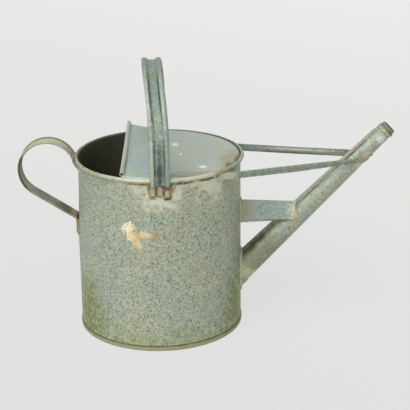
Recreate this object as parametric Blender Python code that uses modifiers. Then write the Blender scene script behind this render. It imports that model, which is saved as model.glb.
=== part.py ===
"""Galvanised steel watering can, two gallons. Run: blender --background --python part.py"""
import math

import bmesh
import bpy
from mathutils import Matrix, Vector

# Sheet, wire and fits (metres)
SHEET = 0.0008              # thickness of the body, bottom, cover and spout sheet
STRAP = 0.0009              # thickness of the handle straps
FIT = 0.0003                # gap between two pieces that touch
AROUND = 64                 # flats round the body

# Body
WALL_RADIUS = 0.110         # outside of the wall
RIM_HEIGHT = 0.239          # top of the wired rim above the floor
RIM_WIRE_RADIUS = 0.0015
RIM_WIRE_PLAY = 0.0004      # space between the wire and the curl round it
SIDE_SEAM_WIDTH = 0.007
SIDE_SEAM_RISE = 0.0008
SIDE_SEAM_ANGLE = 150.0     # degrees from the spout, at the far rear

# Bottom
BOTTOM_RECESS = 0.003       # underside of the bottom above the floor
FOOT_HEIGHT = 0.0056        # height of the folded seam round the foot
FOOT_CORNER = 0.0004

# Half cover
COVER_LENGTH = 0.153        # from the front of the wall to the straight edge
COVER_RISE = 0.0008         # top of the sheet at the straight edge, above the rim
COVER_FALL = 0.012          # how far it falls towards the spout, per metre
COVER_FLANGE = 0.006
COVER_CORNER = 0.0012
COVER_ROLL_RADIUS = 0.0027  # outside of the rolled straight edge
COVER_LIFT = 0.0115         # how far the far rear corner has sprung up
COVER_HINGE_X = 0.005       # where the bend meets the far side of the rim
COVER_BEND = 0.012          # how soft the bend is

# Carrying handle
CARRY_WIDTH = 0.0254
CARRY_ROLL_WIDTH = 0.0072   # each rolled edge, seen from above
CARRY_ROLL_HEIGHT = 0.0038
CARRY_ARCH_RISE = 0.0085    # centre of the arch above the rim
CARRY_STEP_DEPTH = 0.0065   # joggle in to the wall, below the rim
CARRY_STEP_DROP = 0.0040
CARRY_FOOT_DEPTH = 0.0270   # lower end of the longest finger, below the rim
CARRY_FINGER_DEPTH = 0.0218  # lower end of the other fingers
CARRY_SLIT = 0.0015
CARRY_TWIST = 2.84          # degrees round the can's axis
CARRY_LEAN = 0.0060         # how far the top leans to the rear
CARRY_LEAN_RISE = 0.0375    # where the lean starts, above the centre of the arch

# Rear handle
REAR_WIDTH = 0.0254
REAR_EDGE_RADIUS = 0.0015   # wired edges
REAR_LOOP_RADIUS = 0.038
REAR_LOOP_REACH = 0.039     # centre of the loop behind the wall
REAR_LOOP_DEPTH = 0.019     # centre of the loop below the top of the rim
REAR_UPPER_TAB = 0.015      # length of strap below the rim
REAR_LEG_DEPTH = 0.088      # where the straight leg meets the wall, below the rim
REAR_LOWER_TAB = 0.020

# Spout: a cone whose axis leaves the wall at SPOUT_Z
SPOUT_Z = 0.0716
SPOUT_ANGLE = 45.4          # degrees above level
SPOUT_ROOT_RADIUS = 0.0179
SPOUT_END_RADIUS = 0.0103
SPOUT_LENGTH = 0.2700
SPOUT_SEAM_WIDTH = 0.0085
SPOUT_SEAM_RISE = 0.0011
SPOUT_SEAM_TURN = 8.0       # degrees from the top of the tube towards the near side
SPOUT_SLEEVE_RISE = 0.0008
SPOUT_SLEEVE_TOP = 0.0035   # reach of the root sleeve from the wall, above the spout
SPOUT_SLEEVE_LOW = 0.0105   # the same below the spout
SPOUT_AROUND = 40

# Threaded collar
COLLAR_BORE = 0.0090
COLLAR_BEAD_RADIUS = 0.0117
COLLAR_THREAD_RADIUS = 0.0112
COLLAR_ROOT_RADIUS = 0.0105
COLLAR_SOCKET = 0.0050      # depth that takes the end of the tube
COLLAR_SKIRT = 0.0009
COLLAR_THREADS = 3
COLLAR_PITCH = 0.0017

# Brace plate
BRACE_THICKNESS = 0.0012
BRACE_WALL_TOP = 0.1772
BRACE_WALL_LOW = 0.1444
BRACE_REACH = 0.0735        # outer end of the plate in front of the wall
BRACE_END_TOP = 0.1740
BRACE_END_LOW = 0.1478
BRACE_TAB = 0.011

# Stay strip
STAY_THICKNESS = 0.0010
STAY_HEIGHT = 0.0090
STAY_DEPTH = 0.0110         # middle of the strip at the wall, below the top of the rim
STAY_RISE = 0.0013          # how much higher it is at the spout
STAY_TILT = 0.20            # rise across the spout, the far side being higher
STAY_PLAY = 0.0008          # solder gap between the fold and the tube
STAY_HEM = 0.0009
STAY_HEM_HEIGHT = 0.0045
STAY_TAB_FROM = 50.0        # degrees from the spout, end of the tab on the wall
STAY_TAB_TO = 40.5          # degrees from the spout, where the strip leaves the wall
STAY_NOSE_LEAN = 0.29       # the fold leans back this much per unit of height

WALL_INSIDE = WALL_RADIUS - SHEET
RIM_BEAD_RADIUS = RIM_WIRE_RADIUS + RIM_WIRE_PLAY + SHEET
RIM_BEAD_CENTRE = WALL_INSIDE + RIM_BEAD_RADIUS
RIM_BEAD_Z = RIM_HEIGHT - RIM_BEAD_RADIUS
RIM_OUTSIDE = RIM_BEAD_CENTRE + RIM_BEAD_RADIUS
COVER_RADIUS = WALL_INSIDE - FIT - 0.0001
COVER_EDGE_X = WALL_RADIUS - COVER_LENGTH
COVER_TOP = RIM_HEIGHT + COVER_RISE
CARRY_ARCH_Z = RIM_HEIGHT + CARRY_ARCH_RISE
CARRY_STEP_TOP = RIM_HEIGHT - CARRY_STEP_DEPTH
CARRY_FOOT_Z = RIM_HEIGHT - CARRY_FOOT_DEPTH
CARRY_FINGER_Z = RIM_HEIGHT - CARRY_FINGER_DEPTH
CARRY_LEAN_FROM = CARRY_ARCH_Z + CARRY_LEAN_RISE
REAR_LOOP_X = -(WALL_RADIUS + REAR_LOOP_REACH)
REAR_LOOP_Z = RIM_HEIGHT - REAR_LOOP_DEPTH
REAR_LEG_FOOT_Z = RIM_HEIGHT - REAR_LEG_DEPTH
BRACE_END_X = WALL_RADIUS + BRACE_REACH
STAY_Z = RIM_HEIGHT - STAY_DEPTH
SPOUT_DIRECTION = Vector((math.cos(math.radians(SPOUT_ANGLE)), 0.0, math.sin(math.radians(SPOUT_ANGLE))))
SPOUT_TAPER = (SPOUT_ROOT_RADIUS - SPOUT_END_RADIUS) / SPOUT_LENGTH


# Scene and collections

def clear_scene():
    for item in list(bpy.data.objects):
        bpy.data.objects.remove(item, do_unlink=True)


def new_collection(name):
    collection = bpy.data.collections.new(name)
    bpy.context.scene.collection.children.link(collection)
    return collection


def keep_in(item, collection):
    for other in list(item.users_collection):
        other.objects.unlink(item)
    collection.objects.link(item)


# Outlines

def arc(centre, radius, start, end, steps, squash=1.0):
    """Points on an arc, or on an ellipse whose second axis is squash times the first."""
    points = []
    for step in range(steps + 1):
        angle = math.radians(start + (end - start) * step / steps)
        points.append((centre[0] + radius * math.cos(angle),
                       centre[1] + radius * squash * math.sin(angle)))
    return points


def offset_path(path, distance):
    """The path moved sideways, to its left where distance is positive, with mitred corners."""
    moved = []
    last = len(path) - 1
    for index in range(len(path)):
        here = Vector(path[index])
        before = (here - Vector(path[index - 1])).normalized() if index else None
        after = (Vector(path[index + 1]) - here).normalized() if index < last else None
        before = before or after
        after = after or before
        along = (before + after).normalized()
        stretch = 1.0 / max(along.dot(before), 0.3)
        moved.append((here.x - along.y * distance * stretch, here.y + along.x * distance * stretch))
    return moved


def sheet_outline(path, thickness):
    """The closed outline of a sheet of this thickness, folded along the path."""
    left = offset_path(path, thickness / 2)
    right = offset_path(path, -thickness / 2)
    return left + right[::-1]


# Modelling tools

def baked(item):
    """Replace the object's data by its evaluated mesh and drop its modifiers."""
    bpy.context.view_layer.update()
    graph = bpy.context.evaluated_depsgraph_get()
    mesh = bpy.data.meshes.new_from_object(item.evaluated_get(graph))
    shape = bmesh.new()
    shape.from_mesh(mesh)
    bmesh.ops.remove_doubles(shape, verts=shape.verts, dist=0.00001)
    bmesh.ops.dissolve_degenerate(shape, edges=shape.edges, dist=0.000005)
    bmesh.ops.recalc_face_normals(shape, faces=shape.faces)
    shape.to_mesh(mesh)
    shape.free()
    if item.type == "MESH":
        item.modifiers.clear()
        item.data = mesh
        return item
    solid = bpy.data.objects.new(item.name + "_solid", mesh)
    solid.matrix_world = item.matrix_world
    bpy.data.objects.remove(item, do_unlink=True)
    return solid


def revolve(name, outline, steps, closed=True):
    """Turn an outline of (radius, height) points about Z with a Screw modifier."""
    mesh = bpy.data.meshes.new(name)
    shape = bmesh.new()
    corners = [shape.verts.new((radius, 0.0, height)) for radius, height in outline]
    for first, second in zip(corners, corners[1:]):
        shape.edges.new((first, second))
    if closed:
        shape.edges.new((corners[-1], corners[0]))
    shape.to_mesh(mesh)
    shape.free()
    item = bpy.data.objects.new(name, mesh)
    parts.objects.link(item)
    screw = item.modifiers.new("Turn", "SCREW")
    screw.angle = math.tau
    screw.steps = steps
    screw.render_steps = steps
    screw.use_merge_vertices = True
    screw.merge_threshold = 0.00001
    return baked(item)


def cut_out(name, outline, depth):
    """A flat plate of this outline in the XY plane, centred on it, from a filled curve."""
    curve = bpy.data.curves.new(name, "CURVE")
    curve.dimensions = "2D"
    curve.fill_mode = "BOTH"
    curve.extrude = depth / 2
    line = curve.splines.new("POLY")
    line.points.add(len(outline) - 1)
    for point, (x, y) in zip(line.points, outline):
        point.co = (x, y, 0.0, 1.0)
    line.use_cyclic_u = True
    item = bpy.data.objects.new(name, curve)
    parts.objects.link(item)
    solid = baked(item)
    solid.name = name
    parts.objects.link(solid)
    return solid


def block(name, low, high):
    """A box between two corners."""
    shape = bmesh.new()
    bmesh.ops.create_cube(shape, size=1.0)
    size = [top - bottom for bottom, top in zip(low, high)]
    middle = [(top + bottom) / 2 for bottom, top in zip(low, high)]
    bmesh.ops.scale(shape, vec=size, verts=shape.verts)
    mesh = bpy.data.meshes.new(name)
    shape.to_mesh(mesh)
    shape.free()
    item = bpy.data.objects.new(name, mesh)
    item.location = middle
    parts.objects.link(item)
    return item


def cone(name, radius_low, radius_high, low, high, steps):
    """A solid cone about Z between two heights."""
    shape = bmesh.new()
    bmesh.ops.create_cone(shape, cap_ends=True, segments=steps, radius1=radius_low,
                          radius2=radius_high, depth=high - low)
    bmesh.ops.translate(shape, vec=(0.0, 0.0, (low + high) / 2), verts=shape.verts)
    mesh = bpy.data.meshes.new(name)
    shape.to_mesh(mesh)
    shape.free()
    item = bpy.data.objects.new(name, mesh)
    parts.objects.link(item)
    return item


def sweep(name, section, path, place):
    """Extrude a closed section along a flat path, mitred at its corners.

    The section's points are (across, out) and the path's are (along, height); place turns
    (across, along, height) into a world point.
    """
    shape = bmesh.new()
    inner = path
    outer = offset_path(path, 1.0)
    face = None
    for start, end in zip(inner, outer):
        spots = []
        for across, out in section:
            spots.append(place(across, start[0] + (end[0] - start[0]) * out,
                               start[1] + (end[1] - start[1]) * out))
        if face is None:
            face = shape.faces.new([shape.verts.new(spot) for spot in spots])
            continue
        grown = bmesh.ops.extrude_face_region(shape, geom=[face])["geom"]
        if len(shape.faces) > len(section) + 2:
            shape.faces.remove(face)
        face = [item for item in grown if isinstance(item, bmesh.types.BMFace)][0]
        for corner, spot in zip(face.verts, spots):
            corner.co = spot
    bmesh.ops.recalc_face_normals(shape, faces=shape.faces)
    mesh = bpy.data.meshes.new(name)
    shape.to_mesh(mesh)
    shape.free()
    item = bpy.data.objects.new(name, mesh)
    parts.objects.link(item)
    return item


def combine(item, other, operation, keep_other=False):
    """Exact Boolean with another object, which then goes to the cutters or is removed."""
    change = item.modifiers.new(operation.title(), "BOOLEAN")
    change.operation = operation
    change.solver = "EXACT"
    change.object = other
    baked(item)
    if keep_other:
        keep_in(other, cutters)
        other.hide_render = True
        other.display_type = "WIRE"
    else:
        bpy.data.objects.remove(other, do_unlink=True)
    return item


def reshape(item, move):
    """Move each corner of the mesh by a function of its place."""
    for corner in item.data.vertices:
        corner.co = move(corner.co)
    item.data.update()


# Finish

def finish(item, colour, roughness, metallic):
    """A Principled material of the piece's own, and smooth shading across small angles."""
    material = bpy.data.materials.new(item.name + "_finish")
    material.use_nodes = True
    shader = material.node_tree.nodes["Principled BSDF"]
    shader.inputs["Base Color"].default_value = (*colour, 1.0)
    shader.inputs["Roughness"].default_value = roughness
    shader.inputs["Metallic"].default_value = metallic
    item.data.materials.clear()
    item.data.materials.append(material)


def weathered_zinc(item):
    finish(item, (0.30, 0.34, 0.31), 0.62, 0.55)


def bright_zinc(item):
    finish(item, (0.42, 0.47, 0.45), 0.50, 0.60)


def bare_wire(item):
    finish(item, (0.16, 0.12, 0.09), 0.70, 0.60)


def dull_brass(item):
    finish(item, (0.33, 0.31, 0.20), 0.55, 0.60)


# Pieces

def build_body_shell():
    """One sheet bent round, its top curled over the wire, with a side seam and the spout hole."""
    middle = WALL_RADIUS - SHEET / 2
    curl = RIM_BEAD_RADIUS - SHEET / 2
    path = [(middle, SHEET + FIT), (middle, RIM_BEAD_Z - 0.010)]
    path += arc((RIM_BEAD_CENTRE, RIM_BEAD_Z), curl, 180.0, -118.0, 10)
    shell = revolve("body_shell", sheet_outline(path, SHEET), AROUND)
    combine(shell, side_seam(), "UNION")
    hole = spout_cone("spout_hole", -SHEET, -0.035, 0.035)
    combine(shell, hole, "DIFFERENCE", keep_other=True)
    weathered_zinc(shell)
    return shell


def side_seam():
    """The folded seam of the wall, a low flat ridge from the foot to the rim."""
    ridge = block("side_seam", (WALL_RADIUS - SHEET * 0.8, -SIDE_SEAM_WIDTH / 2, FOOT_HEIGHT + 0.002),
                  (WALL_RADIUS + SIDE_SEAM_RISE, SIDE_SEAM_WIDTH / 2,
                   RIM_BEAD_Z - RIM_BEAD_RADIUS - 0.001))
    turn = Matrix.Rotation(math.radians(SIDE_SEAM_ANGLE), 4, "Z")
    ridge.matrix_world = turn @ Matrix.Translation(ridge.location)
    return ridge


def build_rim_wire():
    """The wire in the curl."""
    section = arc((RIM_BEAD_CENTRE, RIM_BEAD_Z), RIM_WIRE_RADIUS, 90.0, -210.0, 5)
    wire = revolve("rim_wire", section, AROUND)
    bare_wire(wire)
    return wire


def build_bottom_plate():
    """The pressed bottom: recessed disc, down to the floor, under the wall and up outside it."""
    level = BOTTOM_RECESS + SHEET / 2
    inside = WALL_INSIDE - FIT - SHEET / 2
    outside = WALL_RADIUS + FIT + SHEET / 2
    low = SHEET / 2
    path = [(0.0, level), (inside - 0.0012, level), (inside - 0.0003, level - 0.0005),
            (inside, level - 0.0013), (inside, low + FOOT_CORNER), (inside + FOOT_CORNER, low),
            (outside - FOOT_CORNER, low), (outside, low + FOOT_CORNER), (outside, FOOT_HEIGHT)]
    plate = revolve("bottom_plate", sheet_outline(path, SHEET), AROUND, closed=False)
    weathered_zinc(plate)
    return plate


def cover_lift(x, y):
    """Rise of the sprung corner over the flat cover at this place."""
    reach = math.sqrt(COVER_RADIUS ** 2 - COVER_EDGE_X ** 2)
    near = Vector((COVER_EDGE_X, -reach))
    far = Vector((COVER_HINGE_X, math.sqrt(COVER_RADIUS ** 2 - COVER_HINGE_X ** 2)))
    along = (far - near).normalized()
    across = Vector((-along.y, along.x))
    corner = (Vector((COVER_EDGE_X, reach)) - near).dot(across)
    here = max((Vector((x, y)) - near).dot(across), 0.0)
    full = math.hypot(corner, COVER_BEND) - COVER_BEND
    return COVER_LIFT * (math.hypot(here, COVER_BEND) - COVER_BEND) / full


def cover_roll(level):
    """The rolled straight edge, as a strip that overlaps the sheet."""
    curl = COVER_ROLL_RADIUS - SHEET / 2
    path = [(COVER_EDGE_X + 0.006, level), (COVER_EDGE_X, level)]
    path += arc((COVER_EDGE_X, level + curl), curl, -90.0, -384.0, 13)[1:]
    reach = math.sqrt(WALL_INSIDE ** 2 - (COVER_EDGE_X - COVER_ROLL_RADIUS) ** 2) - FIT
    roll = cut_out("cover_roll", sheet_outline(path, SHEET), 2 * reach)
    roll.rotation_euler = (math.pi / 2, 0.0, 0.0)
    bpy.context.view_layer.update()
    roll.data.transform(roll.matrix_world)
    roll.rotation_euler = (0.0, 0.0, 0.0)
    shape = bmesh.new()
    shape.from_mesh(roll.data)
    for step in range(1, 12):
        everything = shape.verts[:] + shape.edges[:] + shape.faces[:]
        place = (0.0, reach * (step / 6.0 - 1.0), 0.0)
        bmesh.ops.bisect_plane(shape, geom=everything, plane_co=place, plane_no=(0.0, 1.0, 0.0))
    shape.to_mesh(roll.data)
    shape.free()
    return roll


def build_half_cover():
    """The cover over the front of the mouth, flanged inside the wall, one corner sprung up."""
    level = COVER_TOP - SHEET / 2
    side = COVER_RADIUS - SHEET / 2
    path = [(0.0, level), (side * 0.25, level), (side * 0.5, level), (side * 0.72, level),
            (side * 0.88, level), (side - COVER_CORNER, level), (side, level - COVER_CORNER),
            (side, level - COVER_FLANGE)]
    cover = revolve("half_cover", sheet_outline(path, SHEET), AROUND, closed=False)
    wide = 2 * WALL_RADIUS
    behind = block("cover_edge_cut", (-wide, -wide, level - wide), (COVER_EDGE_X, wide, level + wide))
    combine(cover, behind, "DIFFERENCE", keep_other=True)
    combine(cover, cover_roll(level), "UNION")

    def settle(spot):
        fall = (spot.x - COVER_EDGE_X) * COVER_FALL
        return Vector((spot.x, spot.y, spot.z - fall + cover_lift(spot.x, spot.y)))

    reshape(cover, settle)
    bright_zinc(cover)
    return cover


def strap_section():
    """Section of the carrying handle: a channel between two edges rolled up and over."""
    centre = CARRY_WIDTH / 2 - CARRY_ROLL_WIDTH / 2
    across = CARRY_ROLL_WIDTH / 2 - STRAP / 2
    squash = (CARRY_ROLL_HEIGHT / 2 - STRAP / 2) / across
    roll = arc((centre, CARRY_ROLL_HEIGHT / 2), across, -90.0, 200.0, 9, squash)
    mirrored = [(-x, y) for x, y in roll[::-1]]
    return sheet_outline(mirrored + roll, STRAP)


def build_carry_handle():
    """The arched strap over the mouth, joggled in below the rim and slit into fingers."""
    foot = WALL_RADIUS + FIT
    leg = RIM_OUTSIDE + FIT
    side = [(foot, CARRY_FOOT_Z), (foot, CARRY_STEP_TOP - CARRY_STEP_DROP), (leg, CARRY_STEP_TOP)]
    path = [(-along, height) for along, height in side]
    path += arc((0.0, CARRY_ARCH_Z), leg, 180.0, 0.0, 24)
    path += side[::-1]
    handle = sweep("carry_handle", strap_section(), path,
                   lambda across, along, height: Vector((across, along, height)))
    for end in (-1, 1):
        for slot in foot_cuts(end):
            combine(handle, slot, "DIFFERENCE")
    turn = Matrix.Rotation(math.radians(CARRY_TWIST), 4, "Z")
    top = CARRY_ARCH_Z + leg

    def lean(spot):
        turned = turn @ spot
        rise = max(turned.z - CARRY_LEAN_FROM, 0.0) / (top - CARRY_LEAN_FROM)
        return Vector((turned.x - CARRY_LEAN * rise ** 2, turned.y, turned.z))

    reshape(handle, lean)
    weathered_zinc(handle)
    return handle


def foot_cuts(end):
    """Cutters for one foot: two slits between the fingers, and the shorter ends."""
    deep = (WALL_RADIUS - 0.005, RIM_OUTSIDE + 0.02)
    near, far = sorted((end * deep[0], end * deep[1]))
    inner = CARRY_WIDTH / 2 - CARRY_ROLL_WIDTH
    top = CARRY_STEP_TOP - CARRY_STEP_DROP
    cuts = []
    for side in (-1, 1):
        first, second = sorted((side * (inner + STRAP), side * (inner + STRAP - CARRY_SLIT)))
        cuts.append(block("finger_slit", (first, near, CARRY_FOOT_Z - 0.01), (second, far, top)))
    cuts.append(block("short_fingers", (-CARRY_WIDTH, near, CARRY_FOOT_Z - 0.01),
                      (inner, far, CARRY_FINGER_Z)))
    return cuts


def wired_section():
    """Section of the rear handle: a thin strap with a round wired edge on each side."""
    centre = REAR_WIDTH / 2 - REAR_EDGE_RADIUS
    lean = math.degrees(math.asin(STRAP / 2 / REAR_EDGE_RADIUS))
    right = arc((centre, 0.0), REAR_EDGE_RADIUS, -180.0 + lean, 180.0 - lean, 10)
    left = [(-x, -y) for x, y in right]
    return right + left


def build_rear_handle():
    """The strap behind the can: up past the rim, round the loop and down to the wall."""
    edge = REAR_WIDTH / 2 - REAR_EDGE_RADIUS
    wall = -(math.sqrt((WALL_RADIUS + FIT) ** 2 - edge ** 2) + REAR_EDGE_RADIUS)
    rim = -(RIM_OUTSIDE + FIT + REAR_EDGE_RADIUS)
    centre = (REAR_LOOP_X, REAR_LOOP_Z)
    start = math.degrees(math.acos((rim - REAR_LOOP_X) / REAR_LOOP_RADIUS))
    reach = math.hypot(wall - REAR_LOOP_X, REAR_LEG_FOOT_Z - REAR_LOOP_Z)
    bearing = math.degrees(math.atan2(REAR_LEG_FOOT_Z - REAR_LOOP_Z, wall - REAR_LOOP_X))
    end = 360.0 + bearing - math.degrees(math.acos(REAR_LOOP_RADIUS / reach))
    low_rim = RIM_HEIGHT - 2 * RIM_BEAD_RADIUS
    path = [(wall, low_rim - REAR_UPPER_TAB), (rim, low_rim - 0.001)]
    path += arc(centre, REAR_LOOP_RADIUS, start, end, 26)
    path += [(wall, REAR_LEG_FOOT_Z), (wall, REAR_LEG_FOOT_Z - REAR_LOWER_TAB)]
    handle = sweep("rear_handle", wired_section(), path,
                   lambda across, along, height: Vector((along, across, height)))
    weathered_zinc(handle)
    return handle


def spout_radius(along):
    """Outside radius of the tube at this distance from the wall along its axis."""
    return SPOUT_ROOT_RADIUS - SPOUT_TAPER * along


def set_on_spout(item, along=0.0):
    """Stand an object made about Z on the spout's axis."""
    item.location = Vector((WALL_RADIUS, 0.0, SPOUT_Z)) + SPOUT_DIRECTION * along
    item.rotation_euler = (0.0, math.radians(90.0 - SPOUT_ANGLE), 0.0)
    bpy.context.view_layer.update()
    return item


def spout_cone(name, grow, low, high):
    """A solid cone on the spout's axis, larger than the tube's outside by grow."""
    solid = cone(name, spout_radius(low) + grow, spout_radius(high) + grow, low, high, SPOUT_AROUND)
    return set_on_spout(solid)


def spout_seam():
    """The folded seam along the top of the tube, as a low flat ridge."""
    low, high = -0.03, SPOUT_LENGTH - COLLAR_SOCKET - FIT
    ridge = block("spout_seam", (-SPOUT_SEAM_RISE, -SPOUT_SEAM_WIDTH / 2, 0.0),
                  (SPOUT_SEAM_RISE, SPOUT_SEAM_WIDTH / 2, high - low))
    slant = Matrix.Rotation(math.atan(SPOUT_TAPER), 4, "Y")
    turn = Matrix.Rotation(math.radians(180.0 + SPOUT_SEAM_TURN), 4, "Z")
    foot = Matrix.Translation((spout_radius(low), 0.0, low))
    stand = Matrix.Rotation(math.radians(90.0 - SPOUT_ANGLE), 4, "Y")
    base = Matrix.Translation((WALL_RADIUS, 0.0, SPOUT_Z))
    ridge.matrix_world = base @ stand @ turn @ foot @ slant.inverted() @ Matrix.Translation(ridge.location)
    bpy.context.view_layer.update()
    return ridge


def root_sleeve():
    """The sleeve round the tube where it meets the wall, cut off on a slant."""
    sleeve = spout_cone("root_sleeve", SPOUT_SLEEVE_RISE, -0.03, 0.05)
    keep = block("sleeve_end", (0.0, -0.05, -0.1), (0.1, 0.05, 0.1))
    change = SPOUT_SLEEVE_LOW - SPOUT_SLEEVE_TOP
    slant = math.atan(change / (2 * SPOUT_ROOT_RADIUS / SPOUT_DIRECTION.x - change))
    reach = (SPOUT_SLEEVE_LOW + SPOUT_SLEEVE_TOP) / 2
    keep.matrix_world = (Matrix.Translation((WALL_RADIUS + reach, 0.0, SPOUT_Z + reach))
                         @ Matrix.Rotation(-slant, 4, "Y") @ Matrix.Translation(keep.location))
    combine(sleeve, keep, "DIFFERENCE", keep_other=True)
    return sleeve


def build_spout_tube():
    """The tapered tube with its seam and root sleeve, fitted to the round wall and bored."""
    tube = spout_cone("spout_tube", 0.0, -0.03, SPOUT_LENGTH)
    combine(tube, root_sleeve(), "UNION")
    combine(tube, spout_seam(), "UNION")
    wall = cone("wall_outside", WALL_RADIUS + FIT, WALL_RADIUS + FIT, -0.01, RIM_HEIGHT, AROUND)
    combine(tube, wall, "DIFFERENCE", keep_other=True)
    bore = spout_cone("spout_bore", -SHEET, -0.06, SPOUT_LENGTH + 0.01)
    combine(tube, bore, "DIFFERENCE", keep_other=True)
    bright_zinc(tube)
    return tube


def build_spout_collar():
    """The collar on the end of the spout: socket, bead, three ridges of thread and the mouth."""
    socket = spout_radius(SPOUT_LENGTH - COLLAR_SOCKET) + FIT + 0.0001
    outline = [(socket, 0.0), (socket + COLLAR_SKIRT, 0.0), (socket + COLLAR_SKIRT, 0.0022),
               (COLLAR_BEAD_RADIUS - 0.0004, 0.0026), (COLLAR_BEAD_RADIUS, 0.0034),
               (COLLAR_BEAD_RADIUS, 0.0042), (COLLAR_BEAD_RADIUS - 0.0004, 0.0050)]
    start = 0.0053
    for turn in range(COLLAR_THREADS):
        low = start + turn * COLLAR_PITCH
        outline += [(COLLAR_ROOT_RADIUS, low), (COLLAR_THREAD_RADIUS, low + 0.4 * COLLAR_PITCH),
                    (COLLAR_THREAD_RADIUS, low + 0.6 * COLLAR_PITCH)]
    mouth = start + COLLAR_THREADS * COLLAR_PITCH
    outline += [(COLLAR_ROOT_RADIUS, mouth), (COLLAR_ROOT_RADIUS, mouth + 0.0008),
                (COLLAR_BORE, mouth + 0.0008), (COLLAR_BORE, COLLAR_SOCKET + FIT),
                (socket, COLLAR_SOCKET + FIT)]
    collar = revolve("spout_collar", outline[::-1], SPOUT_AROUND)
    set_on_spout(collar, SPOUT_LENGTH - COLLAR_SOCKET)
    dull_brass(collar)
    return collar


def build_spout_brace():
    """The tapered plate on the near side of the spout, with a tab bent along the wall."""
    along = (BRACE_END_X - WALL_RADIUS) * SPOUT_DIRECTION.x + (BRACE_END_LOW - SPOUT_Z) * SPOUT_DIRECTION.z
    inside = spout_radius(along) + FIT
    middle = inside + BRACE_THICKNESS / 2
    edge = math.sqrt((WALL_RADIUS + FIT) ** 2 - inside ** 2) + FIT
    outline = [(edge, BRACE_WALL_LOW), (BRACE_END_X - 0.002, BRACE_END_LOW),
               (BRACE_END_X, BRACE_END_TOP), (edge, BRACE_WALL_TOP)]
    plate = cut_out("spout_brace", outline, BRACE_THICKNESS)
    plate.rotation_euler = (math.pi / 2, 0.0, 0.0)
    plate.location = (0.0, -middle, 0.0)
    bpy.context.view_layer.update()
    ring = [(WALL_RADIUS + FIT, BRACE_WALL_LOW + 0.0004), (WALL_RADIUS + FIT + BRACE_THICKNESS,
            BRACE_WALL_LOW + 0.0004), (WALL_RADIUS + FIT + BRACE_THICKNESS, BRACE_WALL_TOP - 0.0004),
            (WALL_RADIUS + FIT, BRACE_WALL_TOP - 0.0004)]
    tab = revolve("brace_tab", ring, AROUND)
    keep = block("tab_limits", (edge / 2, -inside - BRACE_THICKNESS * 0.8, BRACE_WALL_LOW - BRACE_TAB),
                 (BRACE_END_X, -inside + BRACE_TAB, BRACE_WALL_TOP + BRACE_TAB))
    combine(tab, keep, "INTERSECT")
    combine(plate, tab, "UNION")
    weathered_zinc(plate)
    return plate


def stay_path():
    """Half of the strip's plan, from its end on the near wall to the fold at the front."""
    top = STAY_Z + STAY_RISE + STAY_HEIGHT / 2
    centre = WALL_RADIUS + (top - SPOUT_Z) * SPOUT_DIRECTION.x / SPOUT_DIRECTION.z
    along = (centre - WALL_RADIUS) * SPOUT_DIRECTION.x + (top - SPOUT_Z) * SPOUT_DIRECTION.z
    clear = STAY_PLAY + STAY_THICKNESS / 2
    deep = spout_radius(along) / SPOUT_DIRECTION.z + clear
    wide = spout_radius(along) + SPOUT_TAPER * STAY_HEIGHT + clear
    radius = WALL_RADIUS + FIT + STAY_HEM + STAY_THICKNESS / 2
    tab = arc((0.0, 0.0), radius, -STAY_TAB_FROM, -STAY_TAB_TO, 4)
    ahead = (tab[-1][0] - centre) / deep
    aside = tab[-1][1] / wide
    touch = math.degrees(math.atan2(aside, ahead) + math.acos(1.0 / math.hypot(ahead, aside)))
    nose = arc((centre, 0.0), deep, touch, 0.0, 8, wide / deep)
    return tab, nose


def build_spout_stay():
    """The long strip from wall to wall, folded round the front of the spout, its top edge hemmed."""
    tab, nose = stay_path()
    half = tab + nose
    whole = half + [(x, -y) for x, y in half[-2::-1]]
    strip = cut_out("spout_stay", sheet_outline(whole, STAY_THICKNESS), STAY_HEIGHT)
    strip.location = (0.0, 0.0, STAY_Z)
    bpy.context.view_layer.update()
    root, tip = Vector(tab[-1]), Vector(nose[0])
    arm = tab + [tuple(root.lerp(tip, 0.93))]
    lap = STAY_THICKNESS * 0.3
    for side in (1, -1):
        line = offset_path(arm, STAY_THICKNESS / 2 + STAY_HEM / 2 - lap / 2)
        line = [(x, side * y) for x, y in line]
        hem = cut_out("stay_hem", sheet_outline(line, STAY_HEM + lap), STAY_HEM_HEIGHT)
        hem.location = (0.0, 0.0, STAY_Z + STAY_HEIGHT / 2 - STAY_HEM_HEIGHT / 2 - 0.0001)
        bpy.context.view_layer.update()
        combine(strip, hem, "UNION")
    start, end = root.x, nose[-1][0]

    def settle(spot):
        share = min(max((spot.x - start) / (tip.x - start), 0.0), 1.0)
        lift = share * (STAY_RISE + STAY_TILT * spot.y)
        front = max((spot.x - tip.x) / (end - tip.x), 0.0)
        lean = STAY_NOSE_LEAN * front * (spot.z - STAY_HEIGHT / 2)
        return Vector((spot.x + lean, spot.y, spot.z + lift))

    reshape(strip, settle)
    weathered_zinc(strip)
    return strip


clear_scene()
parts = new_collection("watering_can")
cutters = new_collection("cutters")
build_body_shell()
build_rim_wire()
build_bottom_plate()
build_half_cover()
build_carry_handle()
build_rear_handle()
build_spout_tube()
build_spout_collar()
build_spout_brace()
build_spout_stay()
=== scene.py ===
import math

import bmesh
import bpy
from mathutils import Matrix, Vector, noise


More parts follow.
